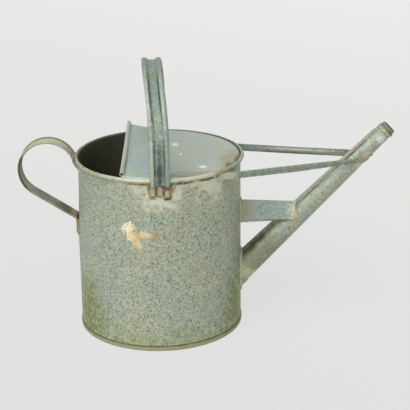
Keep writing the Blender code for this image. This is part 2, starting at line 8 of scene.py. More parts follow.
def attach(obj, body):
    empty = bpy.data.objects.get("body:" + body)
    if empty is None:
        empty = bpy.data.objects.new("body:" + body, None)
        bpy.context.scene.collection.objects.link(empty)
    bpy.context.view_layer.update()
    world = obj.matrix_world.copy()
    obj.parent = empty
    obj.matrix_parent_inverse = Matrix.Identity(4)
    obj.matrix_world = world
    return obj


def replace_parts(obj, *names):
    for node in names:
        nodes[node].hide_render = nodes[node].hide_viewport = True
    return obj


print("loading the packed can")
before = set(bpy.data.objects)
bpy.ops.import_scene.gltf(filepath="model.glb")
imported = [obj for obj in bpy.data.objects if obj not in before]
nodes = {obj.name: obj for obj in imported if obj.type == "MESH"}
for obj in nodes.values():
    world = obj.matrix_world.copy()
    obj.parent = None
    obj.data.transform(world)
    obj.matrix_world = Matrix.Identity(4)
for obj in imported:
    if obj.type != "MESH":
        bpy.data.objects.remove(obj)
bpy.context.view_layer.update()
mm = 0.001


# Colours, nodes and stains

def hexColour(text):
    parts = [int(text[i:i + 2], 16) / 255 for i in (1, 3, 5)]
    return tuple(c / 12.92 if c <= 0.04045 else ((c + 0.055) / 1.055) ** 2.4 for c in parts) + (1.0,)


def addNode(tree, kind, settings=None, links=None):
    # keys in lower case are the node's own settings, the rest are its sockets
    node = tree.nodes.new(kind)
    for key, value in (settings or {}).items():
        if isinstance(key, str) and key[0].islower():
            setattr(node, key, value)
        else:
            node.inputs[key].default_value = value
    for key, source in (links or {}).items():
        tree.links.new(source, node.inputs[key])
    return node


def newMaterial(name):
    material = bpy.data.materials.new(name)
    material.use_nodes = True
    tree = material.node_tree
    return material, tree, tree.nodes["Principled BSDF"]


def spot(colour, at, size, strength=1.0, edge=0.6, ragged=0.5, turn=0.0):
    # one stain, or one patch of painted light or shade: its place and half sizes in millimetres, turned
    # about the can's Y axis
    return {"colour": colour, "at": at, "size": size, "strength": strength, "edge": edge,
            "ragged": ragged, "turn": turn}


def addStainsAndPaintedLight(tree, place, colour, coarse, fine, stainsAndPaintedLight):
    # lays each stain or patch of painted light or shade over the colour so far, with a border that the
    # wobble noise breaks up
    fineUnder = 25  # a stain smaller than this gets the fine wobble
    for stainOrPaintedLight in stainsAndPaintedLight:
        local = addNode(tree, "ShaderNodeMapping", {
            "vector_type": "TEXTURE",
            "Location": [c * mm for c in stainOrPaintedLight["at"]],
            "Rotation": (0.0, math.radians(stainOrPaintedLight["turn"]), 0.0),
            "Scale": [c * mm for c in stainOrPaintedLight["size"]]}, {"Vector": place})
        reach = addNode(tree, "ShaderNodeVectorMath", {"operation": "LENGTH"}, {0: local.outputs[0]})
        wobble = fine if max(stainOrPaintedLight["size"]) < fineUnder else coarse
        broken = addNode(tree, "ShaderNodeMath", {"operation": "MULTIPLY_ADD", 1: stainOrPaintedLight["ragged"] * 2},
                         {0: wobble, 2: reach.outputs["Value"]})
        mask = addNode(tree, "ShaderNodeMapRange", {
            "interpolation_type": "SMOOTHSTEP", "From Min": 1.0 + stainOrPaintedLight["ragged"],
            "From Max": 1.0 + stainOrPaintedLight["ragged"] - stainOrPaintedLight["edge"], "To Min": 0.0,
            "To Max": stainOrPaintedLight["strength"]}, {"Value": broken.outputs[0]})
        colour = addNode(tree, "ShaderNodeMix", {"data_type": "RGBA", 7: hexColour(stainOrPaintedLight["colour"])},
                         {0: mask.outputs[0], 6: colour}).outputs[2]
    return colour


def zincMaterial(name, look, stainsAndPaintedLight=(), twist=0.0, washes=()):
    # washes lie under the grain, and stains and painted light and shade over it
    material, tree, shader = newMaterial(name)
    place = addNode(tree, "ShaderNodeTexCoord").outputs["Object"]
    if twist:
        place = addNode(tree, "ShaderNodeMapping", {"Rotation": (0.0, 0.0, math.radians(-twist))},
                        {"Vector": place}).outputs[0]
    patches = addNode(tree, "ShaderNodeTexNoise", {"Scale": 1000 / look["patchMm"], "Detail": 3.0,
                                                   "Roughness": 0.55}, {"Vector": place})
    patchFade = addNode(tree, "ShaderNodeMapRange", {"From Min": 0.38, "From Max": 0.62},
                        {"Value": patches.outputs["Fac"]})
    colour = addNode(tree, "ShaderNodeMix", {"data_type": "RGBA", 6: hexColour(look["green"]),
                                             7: hexColour(look["blue"])},
                     {0: patchFade.outputs[0]}).outputs[2]
    ragged = addNode(tree, "ShaderNodeTexNoise", {"Scale": 1000 / look["raggedMm"], "Detail": 5.0,
                                                  "Roughness": 0.62}, {"Vector": place})
    torn = addNode(tree, "ShaderNodeTexNoise", {"Scale": 1000 / look["tornMm"], "Detail": 4.0,
                                                "Roughness": 0.6}, {"Vector": place})
    colour = addStainsAndPaintedLight(tree, place, colour, ragged.outputs["Fac"], torn.outputs["Fac"], washes)
    # spangle: each crystal takes its own brightness
    crystals = addNode(tree, "ShaderNodeTexVoronoi", {"Scale": 1000 / look["spangleMm"],
                                                      "Randomness": 1.0}, {"Vector": place})
    crystal = addNode(tree, "ShaderNodeSeparateColor", {}, {0: crystals.outputs["Color"]})
    crystalFade = addNode(tree, "ShaderNodeMapRange", {"From Min": 0.35, "From Max": 1.0,
                                                       "To Max": look["spangle"]},
                          {"Value": crystal.outputs[0]})
    colour = addNode(tree, "ShaderNodeMix", {"data_type": "RGBA", 7: hexColour(look["pale"])},
                     {0: crystalFade.outputs[0], 6: colour}).outputs[2]
    # dark pits between the crystals, drawn about as coarse as the photograph shows them
    pits = addNode(tree, "ShaderNodeTexNoise", {"Scale": 1000 / look["pitMm"], "Detail": 3.0,
                                                "Roughness": 0.65}, {"Vector": place})
    pitFade = addNode(tree, "ShaderNodeMapRange", {"interpolation_type": "SMOOTHSTEP", "From Min": 0.50,
                                                   "From Max": 0.68, "To Max": look["pits"]},
                      {"Value": pits.outputs["Fac"]})
    colour = addNode(tree, "ShaderNodeMix", {"data_type": "RGBA", 7: hexColour(look["dark"])},
                     {0: pitFade.outputs[0], 6: colour}).outputs[2]
    flecks = addNode(tree, "ShaderNodeMapRange", {"interpolation_type": "SMOOTHSTEP", "From Min": 0.46,
                                                  "From Max": 0.30, "To Max": look["flecks"]},
                     {"Value": pits.outputs["Fac"]})
    colour = addNode(tree, "ShaderNodeMix", {"data_type": "RGBA", 7: hexColour(look["pale"])},
                     {0: flecks.outputs[0], 6: colour}).outputs[2]
    colour = addStainsAndPaintedLight(tree, place, colour, ragged.outputs["Fac"], torn.outputs["Fac"], stainsAndPaintedLight)
    tree.links.new(colour, shader.inputs["Base Color"])
    rough = addNode(tree, "ShaderNodeMapRange", {"From Min": 0.3, "From Max": 0.7,
                                                 "To Min": look["roughness"] - 0.08,
                                                 "To Max": look["roughness"] + 0.10},
                    {"Value": pits.outputs["Fac"]})
    tree.links.new(rough.outputs[0], shader.inputs["Roughness"])
    shader.inputs["Metallic"].default_value = look["metallic"]
    bump = addNode(tree, "ShaderNodeBump", {"Strength": look["bump"], "Distance": 0.2 * mm},
                   {"Height": pits.outputs["Fac"]})
    tree.links.new(bump.outputs[0], shader.inputs["Normal"])
    return material


def seenDirectly(tree):
    # 1 for the camera, reflections and see-through rays, 0 for the light that is shed on things
    rays = addNode(tree, "ShaderNodeLightPath")
    seen = addNode(tree, "ShaderNodeMath", {"operation": "MAXIMUM"},
                   {0: rays.outputs["Is Camera Ray"], 1: rays.outputs["Is Glossy Ray"]})
    return addNode(tree, "ShaderNodeMath", {"operation": "MAXIMUM"},
                   {0: seen.outputs[0], 1: rays.outputs["Is Transmission Ray"]}).outputs[0]


def dress(item, material):
    item.data.materials.clear()
    item.data.materials.append(material)


# Camera, floor and light

print("camera, floor and light")
cameraView = {"place": (0.0619, -1.6333, 0.7486), "elevation": 19.689, "roll": -0.642, "lens": 112.44}
# the floor's two colours paint the paper darker to the left and lighter to the right: a painted fall-off
# of the light
floorLook = {"left": "#dfdfdd", "right": "#ececec", "shadowShare": 0.13, "size": 14.0,
             "fadeFrom": (-0.45, -0.6, 0.0), "fadeTurn": 50.0, "fadeLength": 3.0}
lightLook = {"sky": 0.42, "backdrop": "#e6e6e5", "keyStrength": 2.3, "keyElevation": 48.0,
             "keyAzimuth": -28.0, "keyAngle": 55.0}

lens = bpy.data.cameras.new("photoLens")
lens.lens = cameraView["lens"]
lens.sensor_width = 36.0
lens.clip_start = 0.05
lens.clip_end = 60.0
camera = bpy.data.objects.new("photoCamera", lens)
bpy.context.scene.collection.objects.link(camera)
tilt = math.radians(cameraView["elevation"])
roll = math.radians(cameraView["roll"])
right = Vector((1.0, 0.0, 0.0))
back = Vector((0.0, -math.cos(tilt), math.sin(tilt)))
up = back.cross(right)
across = right * math.cos(roll) + up * math.sin(roll)
above = up * math.cos(roll) - right * math.sin(roll)
turned = Matrix((across, above, back)).transposed().to_4x4()
camera.matrix_world = Matrix.Translation(cameraView["place"]) @ turned
bpy.context.scene.camera = camera
bpy.context.scene.view_settings.view_transform = "Standard"

floorMesh = bmesh.new()
bmesh.ops.create_grid(floorMesh, x_segments=20, y_segments=20, size=floorLook["size"] / 2)
floorData = bpy.data.meshes.new("studioFloor")
floorMesh.to_mesh(floorData)
floorMesh.free()
floor = bpy.data.objects.new("studioFloor", floorData)
bpy.context.scene.collection.objects.link(floor)

# studio paper: pale and without a shine, and mostly its own tone, so that the shadow stays faint
floorMaterial, tree, shader = newMaterial("studioPaper")
shader.inputs["Roughness"].default_value = 0.95
shader.inputs["Specular IOR Level"].default_value = 0.0
# the paper is painted darker to the left and lighter to the right: a painted fall-off of the light
spread = addNode(tree, "ShaderNodeMapping", {
    "vector_type": "TEXTURE", "Location": floorLook["fadeFrom"],
    "Rotation": (0.0, 0.0, math.radians(floorLook["fadeTurn"])),
    "Scale": [floorLook["fadeLength"]] * 3},
    {"Vector": addNode(tree, "ShaderNodeTexCoord").outputs["Object"]})
paintedFalloff = addNode(tree, "ShaderNodeTexGradient", {}, {"Vector": spread.outputs[0]})
paperWithPaintedFalloff = addNode(tree, "ShaderNodeMix", {"data_type": "RGBA", 6: hexColour(floorLook["left"]),
                                        7: hexColour(floorLook["right"])}, {0: paintedFalloff.outputs["Fac"]})
tree.links.new(paperWithPaintedFalloff.outputs[2], shader.inputs["Base Color"])
glow = addNode(tree, "ShaderNodeEmission", {"Strength": 1.0}, {"Color": paperWithPaintedFalloff.outputs[2]})
share = addNode(tree, "ShaderNodeMath", {"operation": "MULTIPLY", 1: 1.0 - floorLook["shadowShare"]},
                {0: seenDirectly(tree)})
blend = addNode(tree, "ShaderNodeMixShader", {}, {0: share.outputs[0], 1: shader.outputs[0],
                                                  2: glow.outputs[0]})
tree.links.new(blend.outputs[0], tree.nodes["Material Output"].inputs["Surface"])
dress(floor, floorMaterial)

world = bpy.data.worlds.new("studio")
world.use_nodes = True
bpy.context.scene.world = world
tree = world.node_tree
skyLight = tree.nodes["Background"]
skyLight.inputs["Color"].default_value = hexColour("#ffffff")
skyLight.inputs["Strength"].default_value = lightLook["sky"]
backdrop = addNode(tree, "ShaderNodeBackground", {"Color": hexColour(lightLook["backdrop"]),
                                                  "Strength": 1.0})
blend = addNode(tree, "ShaderNodeMixShader", {}, {0: seenDirectly(tree), 1: skyLight.outputs[0],
                                                  2: backdrop.outputs[0]})
tree.links.new(blend.outputs[0], tree.nodes["World Output"].inputs["Surface"])

keyData = bpy.data.lights.new("softKey", "SUN")
keyData.energy = lightLook["keyStrength"]
keyData.angle = math.radians(lightLook["keyAngle"])
key = bpy.data.objects.new("softKey", keyData)
high = math.radians(lightLook["keyElevation"])
aside = math.radians(lightLook["keyAzimuth"])
towards = Vector((math.sin(aside) * math.cos(high), -math.cos(aside) * math.cos(high), math.sin(high)))
key.matrix_world = towards.to_track_quat("Z", "Y").to_matrix().to_4x4()
bpy.context.scene.collection.objects.link(key)


# Spout measures, which several pieces need

spoutLine = {"foot": Vector((110.0, 0.0, 71.6)), "angle": 45.4, "rootRadius": 17.9, "endRadius": 10.3,
             "length": 270.0}
spoutAlong = Vector((math.cos(math.radians(spoutLine["angle"])), 0.0,
                     math.sin(math.radians(spoutLine["angle"]))))
spoutUp = Vector((-spoutAlong.z, 0.0, spoutAlong.x))


def spoutSpot(along, lift=0.0, aside=0.0):
    # a place in millimetres: along the spout, above its axis and to the far side
    return spoutLine["foot"] + spoutAlong * along + spoutUp * lift + Vector((0.0, aside, 0.0))


def spoutRadius(along):
    taper = (spoutLine["endRadius"] - spoutLine["rootRadius"]) / spoutLine["length"]
    return spoutLine["rootRadius"] + taper * along


# Materials: hot-dip galvanised steel sheet, weathered dull

print("materials")
everywhere = 9999.0  # half size of a stain that runs right along or round
# pattern sizes are real millimetres, but pitMm is a little coarser, as the photo shows the pits
wallLook = {"green": "#a6aa90", "blue": "#9ba79a", "pale": "#c9ceb6", "dark": "#565f54", "spangle": 0.40,
            "pits": 0.90, "flecks": 0.62, "patchMm": 55.0, "spangleMm": 3.6, "pitMm": 2.4,
            "raggedMm": 12.0, "tornMm": 3.2, "roughness": 0.55, "metallic": 0.30, "bump": 0.25}
wallWashes = [
    spot("#8f955a", (0, 0, -30), (everywhere, everywhere, 84), 0.8, 0.85, 0.35),
    spot("#6f7b2c", (-96, -52, 36), (56, 66, 76), 0.95, 0.85, 0.5),
    spot("#6c7826", (102, -46, 42), (42, 58, 90), 0.95, 0.9, 0.5),
    spot("#8b8d5a", (0, 110, 40), (90, 40, 60), 0.7, 0.9, 0.5),
    spot("#6f7a66", (-112, -8, 170), (16, 60, 120), 0.85, 0.9, 0.4),
]
wallStainsAndPaintedLight = [
    # cream run-off under the rim, from the handle's foot and the stay's tab
    spot("#c7c9ad", (-22, -108, 236), (52, 46, 22), 0.85, 0.75, 1.0),
    spot("#d5d6c1", (8, -109, 216), (38, 30, 30), 0.92, 0.75, 1.1),
    spot("#cbccb0", (52, -97, 234), (50, 36, 22), 0.88, 0.75, 1.1),
    spot("#d1d3bc", (72, -84, 224), (32, 32, 32), 0.85, 0.75, 1.1),
    spot("#69522f", (34, -104, 230.6), (22, 14, 1.9), 0.9, 0.6, 2.0),
    spot("#69522f", (66, -88, 230.6), (22, 20, 1.9), 0.9, 0.6, 2.0),
    spot("#75562f", (-18, -108, 230.8), (23, 10, 1.6), 0.85, 0.6, 1.8),
    spot("#7a6038", (50, -97, 222), (7, 10, 3), 0.5, 0.6, 2.4),
    spot("#6b4c28", (12, -110, 224), (17, 9, 10), 0.85, 0.7, 0.8),
    spot("#4f3519", (12, -110, 228), (11, 8, 8), 0.9, 0.6, 0.7),
    spot("#8a6a3a", (-4, -110, 213), (7, 9, 3), 0.7, 0.6, 0.8),
    spot("#6b4a2a", (12, 110, 228), (14, 8, 14), 0.9, 0.5, 0.8),
    spot("#96754c", (-104, 6, 237), (9, 26, 8), 0.8, 0.6, 0.8),
    spot("#9c8c60", (-110, -12, 180), (5, 30, 66), 0.8, 0.8, 0.7),
    spot("#7d6a44", (-110, 0, 140), (8, 24, 24), 0.8, 0.6, 0.8),
    # painted shade under the rim, between the rim and the stay's tab
    spot("#6d6a3c", (100, -46, 231), (14, 22, 4), 0.8, 0.6, 0.8),
    # what is left of a paper label, worn to a blotch
    spot("#f3ead0", (-36, -105, 171), (10, 12, 8), 0.95, 0.3, 1.9),
    spot("#f0dfb4", (-31, -106, 160), (9, 12, 9), 0.95, 0.3, 2.1),
    spot("#dccd9e", (-25, -108, 151), (7, 10, 7), 0.95, 0.3, 2.0),
    spot("#e6d3a6", (-17, -109, 163), (13, 8, 5), 0.85, 0.3, 2.0),
    spot("#a58d5a", (0, -110, 163), (9, 8, 6), 0.6, 0.5, 2.4),
    spot("#b8975a", (-27, -108, 164), (6, 8, 10), 0.5, 0.4, 2.6),
    # a thin dark brown line just under the rim bead along the front; a pale band round the foot with a
    # dark line over it
    spot("#57462c", (30, 0, 233.2), (96, everywhere, 1.2), 0.8, 0.7, 0.6),
    spot("#9a9472", (0, 0, 2.4), (everywhere, everywhere, 4.4), 0.65, 0.5, 0.4),
    spot("#4f4228", (0, 0, 6.6), (everywhere, everywhere, 1.3), 0.75, 0.7, 0.3),
    # the rim's top: a painted highlight on the front, and darker on the back; then a tan mark on the rim
    # by the stay
    spot("#c9c8ac", (40, -90, 238.4), (110, 60, 4.0), 0.6, 0.5, 0.7),
    spot("#77755c", (-30, 95, 238.4), (100, 45, 4.6), 0.7, 0.5, 0.6),
    spot("#8a7a50", (84, -74, 237), (26, 28, 6), 0.6, 0.7, 0.9),
]
# the inside: aged brown, painted darker as painted shade
insideShadeLook = dict(wallLook, green="#57543f", blue="#4f5145", pale="#716d5b", dark="#35332a", pits=0.6,
                  flecks=0.6, spangle=0.3, metallic=0.1)
insideStains = [spot("#5b4424", (-108, -20, 228), (7, 34, 14), 0.6, 0.8, 0.7)]
coverLook = dict(wallLook, green="#b5bdae", blue="#acbcb3", pale="#c6ccc2", dark="#8a948a", pits=0.35,
                 flecks=0.3, spangle=0.25)
coverStainsAndPaintedShade = [
    spot("#a39a76", (98, -34, 239), (26, 70, 12), 0.75, 0.8, 0.7),
    spot("#66552f", (105, -30, 239), (5, 21, 12), 0.85, 0.6, 2.0),
    spot("#66552f", (94, -58, 239), (7, 20, 12), 0.85, 0.6, 2.0),
    spot("#9db4b6", (-16, -50, 239), (30, 64, 12), 0.7, 0.9, 0.8),
    spot("#9a8f68", (60, -90, 239), (60, 16, 12), 0.6, 0.8, 0.8),
    spot("#7d7352", (37, -100, 239), (46, 7, 8), 0.7, 0.7, 0.7),
    # painted shadow in the groove beside the hem at the cover's back edge; then the hem paler, and three
    # small near-white spots
    spot("#4f574e", (-40.3, 0, 240), (1.8, 110, 9), 0.8, 0.6, 0.5),
    spot("#d9d8c4", (-41.5, 10, 245), (4, 110, 12), 0.5, 0.7, 0.7),
    spot("#efefe8", (22, 36.8, 239), (4.5, 10, 6), 0.95, 0.4, 1.6, 20),
    spot("#efefe8", (30.8, -8.9, 239), (3, 4.5, 6), 0.95, 0.4, 1.0),
    spot("#efefe8", (59.9, -61.7, 239), (6, 6.5, 6), 0.95, 0.4, 1.2),
]
carryLook = dict(wallLook, green="#858e7c", blue="#7b8f8a", pale="#a9b5a8", pits=0.6, patchMm=30.0)
# places here are in the strap's own directions, which are twisted a little about the can's axis
carryTwist = 2.84  # degrees
carryStainsAndPaintedLight = [
    # the rolls painted paler along their length: painted highlight
    spot("#c3c6b0", (-9.8, -100, 256), (3.0, 120, 52), 0.6, 0.5, 0.5),
    spot("#b6beaf", (-12.4, -50, 322), (3.0, 80, 60), 0.6, 0.5, 0.5, -4.5),
    spot("#9ca696", (9.8, -100, 256), (2.8, 120, 52), 0.6, 0.5, 0.5),
    spot("#adb7a8", (7.2, -50, 322), (2.8, 80, 60), 0.6, 0.5, 0.5, -4.5),
    # the channel darker near the foot, and dark lines in the creases beside it, which are painted shade
    spot("#3d463b", (0, -108, 246), (5.6, 26, 44), 0.9, 0.6, 0.7),
    spot("#2b352d", (-6.2, -80, 262), (1.9, 70, 42), 0.95, 0.6, 0.3),
    spot("#2b352d", (6.2, -80, 262), (1.9, 70, 42), 0.95, 0.6, 0.3),
    spot("#303a32", (-8.4, -50, 322), (1.9, 70, 50), 0.95, 0.6, 0.3, -4.5),
    spot("#303a32", (3.4, -50, 322), (1.9, 70, 50), 0.95, 0.6, 0.3, -4.5),
    # the soldered fingers at the foot, cream with rusty slits
    spot("#bdb18e", (0, -112, 221), (16, 12, 11), 0.9, 0.4, 0.6),
    spot("#4a3219", (-3.8, -112, 222), (1.2, 12, 11), 0.9, 0.5, 0.5),
    spot("#4a3219", (3.8, -112, 222), (1.2, 12, 11), 0.9, 0.5, 0.5),
    spot("#6a4a26", (8, -114, 227), (7, 10, 6), 0.8, 0.6, 1.6),
    spot("#6a4a26", (-9, -114, 213), (8, 10, 4), 0.8, 0.6, 1.6),
    spot("#5a3d1e", (6, -114, 213), (9, 10, 3.4), 0.9, 0.6, 1.4),
]
rearLook = dict(wallLook, green="#a2a587", blue="#959f8d", pale="#c3c5a9", pits=0.5, patchMm=30.0)
rearStainsAndPaintedShade = [
    spot("#d3d0ae", (-140, 0, 258), (46, 9.3, 20), 0.6, 0.5, 0.5),
    spot("#a8987a", (-183, 0, 212), (10, 9, 36), 0.6, 0.7, 0.6),
    # painted shadow along the near wired edge, on the outside of the loop
    spot("#4c3f28", (-182, -12.4, 212), (16, 3.0, 40), 0.9, 0.5, 0.5),
    spot("#5c573f", (-148, 9.8, 250), (42, 1.5, 30), 0.85, 0.5, 0.4),
    spot("#77766c", (-155, 0, 180), (42, 40, 20), 0.8, 0.8, 0.5),
    spot("#4a4d2e", (-126, 0, 163), (24, 40, 15), 0.85, 0.8, 0.5),
    spot("#9a6a38", (-108, 0, 240), (10, 40, 9), 0.8, 0.7, 0.8),
    spot("#857142", (-112, 0, 144), (7, 40, 20), 0.8, 0.7, 0.8),
]
braceLook = dict(wallLook, green="#9fa694", blue="#96a5a0", pale="#bac4b8", pits=0.6, patchMm=30.0)
braceStainsAndPaintedShade = [
    spot("#a09c7c", (116, -17, 163), (17, 14, 26), 0.75, 0.9, 1.2),
    spot("#d6d4ba", (182, -16, 160), (13, 9, 24), 0.88, 0.9, 1.5),
    # painted shadow along the brace's lower edge, where it stands proud of the spout
    spot("#4a3a20", (160, -17, 147.6), (44, 9, 1.2), 0.7, 0.8, 0.6),
]
stayLook = dict(wallLook, green="#8a9183", blue="#7f8c85", pale="#b0b8a8", dark="#4f574e", pits=0.75,
                patchMm=30.0)
stayStainsAndPaintedLight = [
    spot("#cac8ad", (88, -76, 228), (24, 24, 14), 0.85, 0.6, 0.7),
    # the far arm: darker under its hem, painted shade with some dirt, and the hem painted pale, a painted
    # highlight
    spot("#5c5c40", (190, 40, 224.4), (92, 40, 2.4), 0.8, 0.7, 0.5, -1.8),
    spot("#c6ccbb", (190, 40, 229.6), (92, 40, 2.4), 0.8, 0.7, 0.5, -1.8),
    spot("#a79c84", (276, -8, 232), (20, 16, 14), 0.8, 0.6, 0.8),
]
spoutLook = dict(wallLook, green="#a2a78e", blue="#99a498", pale="#bfc5b2", pits=0.55, patchMm=25.0)
spoutStainsAndPaintedLight = [
    spot("#6f6845", spoutSpot(40, 0, 0), (64, 60, 60), 0.55, 0.9, 0.5, -spoutLine["angle"]),
    # painted shadow under the brace, with dirt, on the spout's upper near side
    spot("#463f28", spoutSpot(38, 13, -6), (52, 10, 8), 0.85, 0.7, 0.6, -spoutLine["angle"]),
    spot("#8d8a5c", spoutSpot(30, -16, -6), (46, 12, 5), 0.7, 0.8, 0.5, -spoutLine["angle"]),
    spot("#c1bb9a", spoutSpot(6, -8, -10), (11, 22, 22), 0.85, 0.6, 0.5, -spoutLine["angle"]),
    # painted shadow along the near edge of the seam's ridge, then a painted highlight on the ridge's top
    spot("#4b4630", spoutSpot(148, 11.8, -7.1), (42, 1.3, 2.0), 0.9, 0.7, 0.7, -spoutLine["angle"]),
    spot("#4b4630", spoutSpot(215, 10.2, -6.1), (50, 1.2, 1.8), 0.9, 0.7, 0.7, -spoutLine["angle"]),
    spot("#bdbda4", spoutSpot(190, 14.6, 0), (90, 2.6, 7), 0.6, 0.6, 0.5, -spoutLine["angle"]),
    spot("#cfc9ac", spoutSpot(224, -6, -10), (17, 12, 12), 0.8, 0.7, 0.7, -spoutLine["angle"]),
    spot("#5e6450", spoutSpot(230, 3, -11), (7, 4, 6), 0.35, 0.6, 0.9, -spoutLine["angle"]),
    spot("#dfe4d4", spoutSpot(262, -2, -10), (9, 8, 8), 0.7, 0.7, 0.7, -spoutLine["angle"]),
    spot("#767047", spoutSpot(272.5, 0, 0), (2.4, 40, 40), 0.8, 0.7, 0.5, -spoutLine["angle"]),
]
collarLook = dict(wallLook, green="#98957a", blue="#9b9b84", pale="#cfceb0", dark="#4a452c", pits=0.8,
                  metallic=0.4, spangle=0.2)
collarBoreShade = [
    # the bore painted near-black: painted shade inside the mouth
    spot("#2c2a20", spoutSpot(278, 0, 0), (40, 9.8, 9.8), 0.95, 0.06, 0.0, -spoutLine["angle"]),
]

# hot-dip galvanised steel sheet, weathered: dull green-grey with a dark spangle and no sparkle left
wallZinc = zincMaterial("galvanisedWall", wallLook, wallStainsAndPaintedLight, washes=wallWashes)
# the same sheet inside, brown with age and painted darker still as painted shade, so that the mouth looks
# deep
insideShadeZinc = zincMaterial("galvanisedInsideAndShade", insideShadeLook, insideStains)
# the cover is paler and has fewer pits than the wall, so that it reads as a sheet of its own
coverZinc = zincMaterial("galvanisedCover", coverLook, coverStainsAndPaintedShade)
# the straps are the same zinc, each with its own dirt and its own painted light and shade: the carrying
# strap and the stay are the darkest
carryZinc = zincMaterial("galvanisedCarryStrap", carryLook, carryStainsAndPaintedLight, carryTwist)
rearZinc = zincMaterial("galvanisedRearStrap", rearLook, rearStainsAndPaintedShade)
braceZinc = zincMaterial("galvanisedBrace", braceLook, braceStainsAndPaintedShade)
stayZinc = zincMaterial("galvanisedStay", stayLook, stayStainsAndPaintedLight)
spoutZinc = zincMaterial("galvanisedSpout", spoutLook, spoutStainsAndPaintedLight)
# cast brass, tarnished: olive and cream in the thread's hollows, and painted shade in the bore
collarBrass = zincMaterial("tarnishedBrass", collarLook, collarBoreShade)

solderLook = dict(wallLook, green="#c6bf9d", blue="#bcbba4", pale="#dcd8bc", dark="#8a7548", pits=0.7,
                  flecks=0.4, spangle=0.2, patchMm=9.0, pitMm=2.0, metallic=0.2, bump=0.5)
rustySolderLook = dict(solderLook, green="#7f6742", blue="#a59673", pale="#cdc29c", dark="#472f18",
                       metallic=0.1)
# soft tin-lead solder, oxidised cream, and the same where rust has crept over it
solder = zincMaterial("oxidisedSolder", solderLook)
rustySolder = zincMaterial("rustySolder", rustySolderLook)


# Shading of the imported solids: their flats are welded in the view and shaded as curves

def softShading(limit):
    group = bpy.data.node_groups.new("softShading", "GeometryNodeTree")
    group.interface.new_socket("Geometry", in_out="INPUT", socket_type="NodeSocketGeometry")
    group.interface.new_socket("Geometry", in_out="OUTPUT", socket_type="NodeSocketGeometry")
    start = addNode(group, "NodeGroupInput")
    plain = addNode(group, "GeometryNodeRemoveAttribute", {"Name": "custom_normal"},
                    {"Geometry": start.outputs[0]})
    welded = addNode(group, "GeometryNodeMergeByDistance", {"Distance": 0.01 * mm},
                     {"Geometry": plain.outputs[0]})
    smooth = addNode(group, "GeometryNodeSetShadeSmooth", {"domain": "FACE", "Shade Smooth": True},
                     {"Geometry": welded.outputs[0]})
    angle = addNode(group, "GeometryNodeInputMeshEdgeAngle")
    sharp = addNode(group, "FunctionNodeCompare", {"operation": "GREATER_THAN", "B": math.radians(limit)},
                    {"A": angle.outputs["Unsigned Angle"]})
    creased = addNode(group, "GeometryNodeSetShadeSmooth", {"domain": "EDGE", "Shade Smooth": False},
                      {"Geometry": smooth.outputs[0], "Selection": sharp.outputs[0]})
    addNode(group, "NodeGroupOutput", {}, {0: creased.outputs[0]})
    return group


curved = softShading(38.0)
for node in nodes.values():
    node.modifiers.new("softShading", "NODES").node_group = curved


# Mesh helpers for the pieces that this scene adds. Places are in millimetres

def makePiece(name, shape, material, creased=False, second=None):
    bmesh.ops.scale(shape, vec=(mm, mm, mm), verts=shape.verts)
    bmesh.ops.recalc_face_normals(shape, faces=shape.faces)
    for face in shape.faces:
        face.smooth = True
    data = bpy.data.meshes.new(name)
    shape.to_mesh(data)
    shape.free()
    data.materials.append(material)
    if second:
        data.materials.append(second)
    item = bpy.data.objects.new(name, data)
    bpy.context.scene.collection.objects.link(item)
    if creased:
        item.modifiers.new("softShading", "NODES").node_group = curved
    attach(item, "root")
    return item


def evenly(path, step):
    # the same path with points a step apart
    spots = [path[0].copy()]
    for start, end in zip(path, path[1:]):
        count = max(1, round((end - start).length / step))
        spots += [start.lerp(end, share / count) for share in range(1, count + 1)]
    return spots


def joinRings(shape, rings, closed=False):
    # skins a row of rings that have as many corners each
    around = len(rings[0])
    for first, second in zip(rings, rings[1:] + rings[:1] if closed else rings[1:]):
        for step in range(around):
            after = (step + 1) % around
            shape.faces.new((first[step], first[after], second[after], second[step]))
    if not closed:
        shape.faces.new(rings[0])
        shape.faces.new(rings[-1])


def lumpyBead(shape, path, radius, lump, seed, out, around=10):
    # a run of solder along a joint, uneven in width, its ends drawn out thin
    spots = evenly(path, radius * 0.7)
    shift = Vector((seed * 7.3, seed * 3.1, seed * 5.7))
    closed = (path[0] - path[-1]).length < 0.01
    rings = []
    total = len(spots) - 1
    for index, place in enumerate(spots):
        ahead = spots[min(index + 1, total)] - spots[max(index - 1, 0)]
        if closed and index in (0, total):
            ahead = spots[1] - spots[total - 1]
        ahead.normalize()
        side = ahead.cross(out(place)).normalized()
        lift = side.cross(ahead)
        ends = 1.0 if closed else min(1.0, 0.25 + min(index, total - index) * 0.3)
        swell = radius * ends * (1.0 + lump * noise.noise(place * 0.25 + shift))
        ring = []
        for step in range(around):
            turn = math.tau * step / around
            point = place + side * math.cos(turn) * swell * 1.25 + lift * math.sin(turn) * swell * 0.8
            point += (point - place) * lump * 0.7 * noise.noise(point * 0.6 + shift)
            ring.append(shape.verts.new(point))
        rings.append(ring)
    if closed:
        for vert in rings.pop():
            shape.verts.remove(vert)
    joinRings(shape, rings, closed)


def outward(place):
    return Vector((place.x, place.y, 0.0)).normalized()


def onWall(angle, height, lift=0.6):
    # a place on the wall, the angle in degrees from the spout towards the far side
    turn = math.radians(angle)
    reach = wallShape["radius"] + lift
    return Vector((reach * math.cos(turn), reach * math.sin(turn), height))


def offSpout(place):
    # the direction away from the spout's axis
    along = (place - spoutLine["foot"]).dot(spoutAlong)
    return (place - spoutSpot(along)).normalized()


# Wall and rim: the sheet with its curled rim, pressed in a little behind the cover

